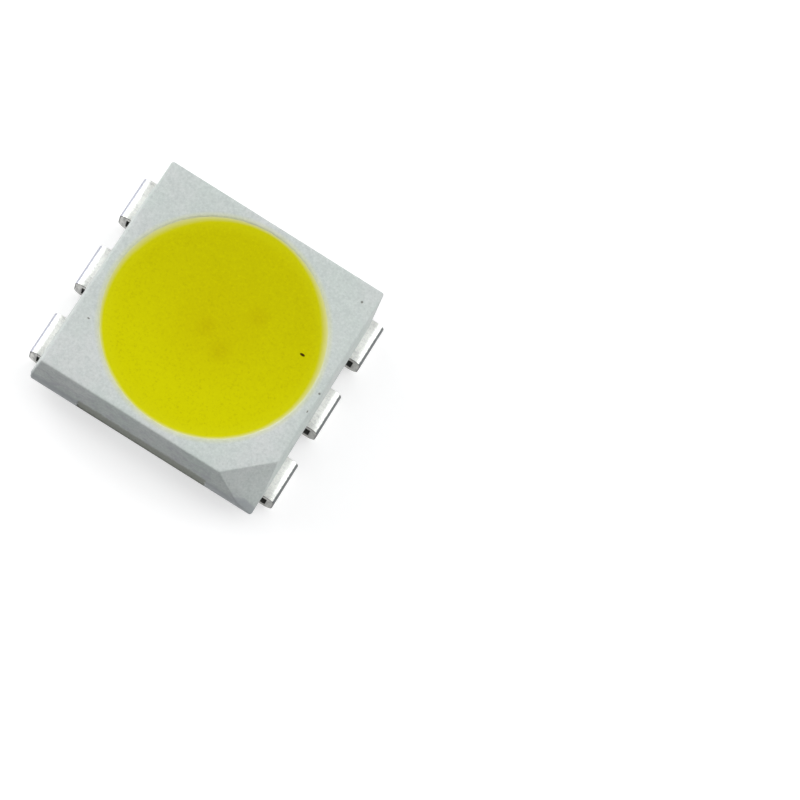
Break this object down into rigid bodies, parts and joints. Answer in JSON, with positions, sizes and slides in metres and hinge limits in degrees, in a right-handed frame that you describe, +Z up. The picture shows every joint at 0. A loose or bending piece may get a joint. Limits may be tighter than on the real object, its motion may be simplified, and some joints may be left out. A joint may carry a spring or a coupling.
{
  "type": "surface mount led",
  "caption": "Square surface-mount white LED: drafted plastic housing with a round phosphor-filled reflector cup, polarity facet and folded solder leads under the body.",
  "frame": {"origin": "middle of the outline on the plane of the undersides of the solder feet", "axes": "+Z up out of the light window; X across the two lead rows, with the chip side and the polarity facet towards +X; Y along the lead rows, with the facet at the -Y end"},
  "size_m": [0.0054, 0.005, 0.0016],
  "materials": {
    "housing_plastic": "satin white moulding",
    "phosphor": "smooth cured compound",
    "lead_metal": "bright silver plating",
    "bond_gold": "drawn wire",
    "adhesive": "cured",
    "chip": "polished"
  },
  "bodies": {
    "root": {"housing": "housing_plastic", "phosphor_filling": "phosphor", "chip_side_lead_far": "lead_metal", "chip_side_bond_wire_far": "bond_gold", "chip_side_lead_middle": "lead_metal", "chip_side_bond_wire_middle": "bond_gold", "chip_side_lead_near": "lead_metal", "chip_side_bond_wire_near": "bond_gold", "wire_side_lead_far": "lead_metal", "wire_side_bond_wire_far": "bond_gold", "wire_side_lead_middle": "lead_metal", "wire_side_bond_wire_middle": "bond_gold", "wire_side_lead_near": "lead_metal", "wire_side_bond_wire_near": "bond_gold", "die_attach_far": "adhesive", "led_chip_far": "chip", "die_attach_middle": "adhesive", "led_chip_middle": "chip", "die_attach_near": "adhesive", "led_chip_near": "chip"}
  },
  "joints": []
}
